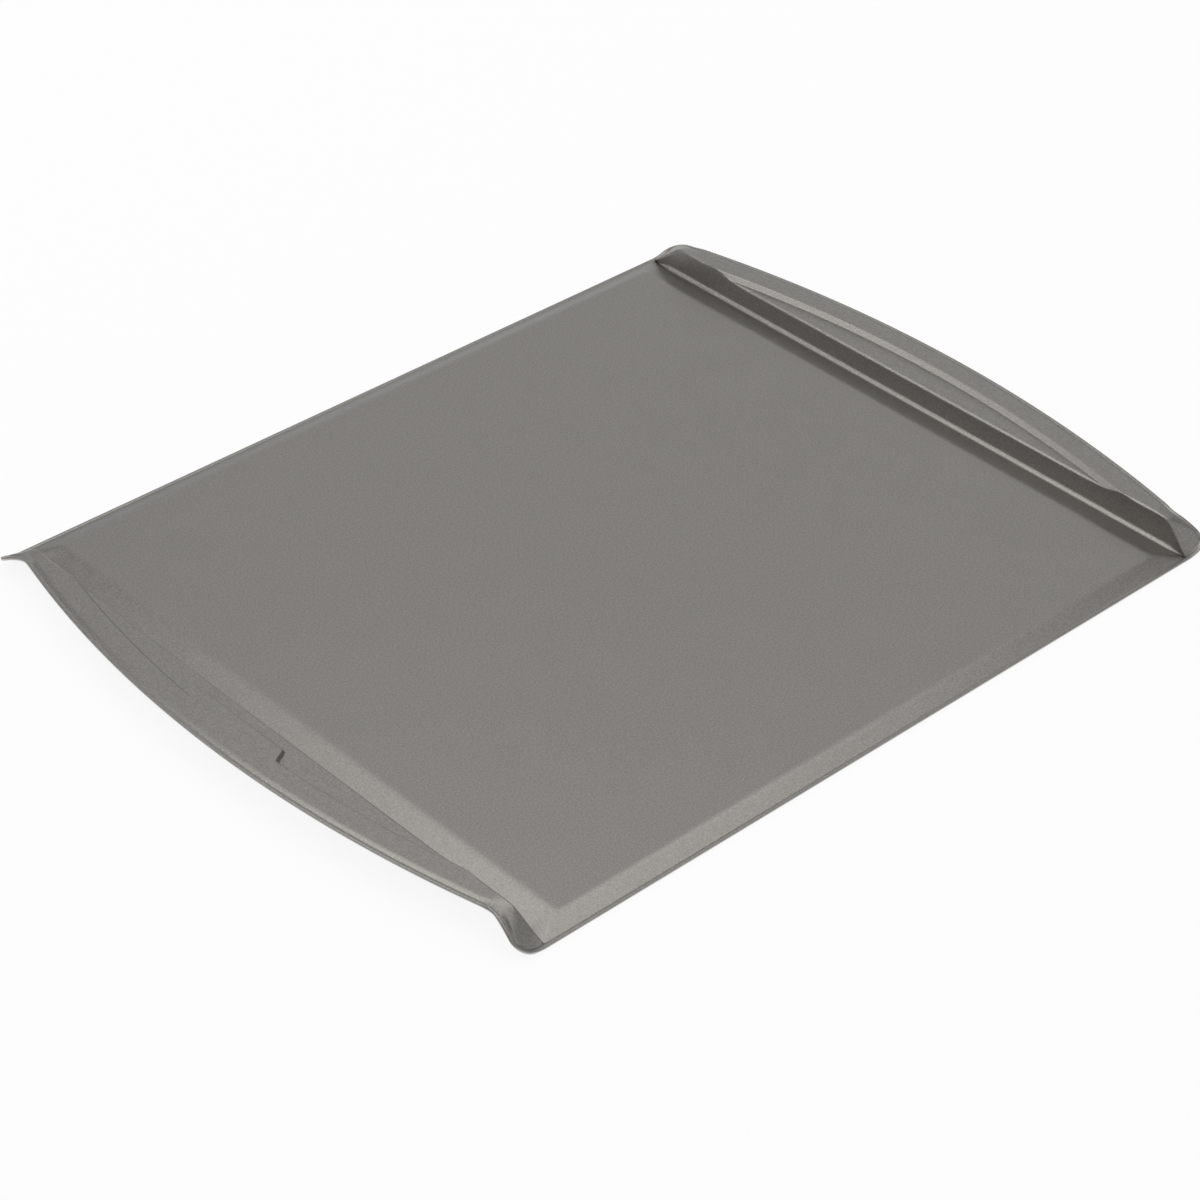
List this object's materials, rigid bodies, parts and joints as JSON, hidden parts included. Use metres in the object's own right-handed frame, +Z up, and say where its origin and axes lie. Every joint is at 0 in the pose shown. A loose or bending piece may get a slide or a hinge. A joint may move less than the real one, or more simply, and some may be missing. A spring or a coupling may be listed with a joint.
{
  "type": "sheet pan",
  "caption": "Rimless baking sheet of satin grey non-stick steel, with a flat bake plateau, sloping edges and a raised bowed handle at each end.",
  "frame": {"origin": "on the table under the middle of the pan", "axes": "+X along the pan through its two handles, towards the handle with the clear recess; +Z up"},
  "size_m": [0.4572, 0.3556, 0.0139],
  "materials": {
    "steel": "cold-rolled carbon steel",
    "satin_film": "satin grey non-stick film with a fine metallic flake",
    "dark_film": "satin dark grey non-stick film"
  },
  "bodies": {
    "root": {"steel_sheet": "steel", "top_film": "satin_film", "underside_film": "dark_film"}
  },
  "joints": []
}
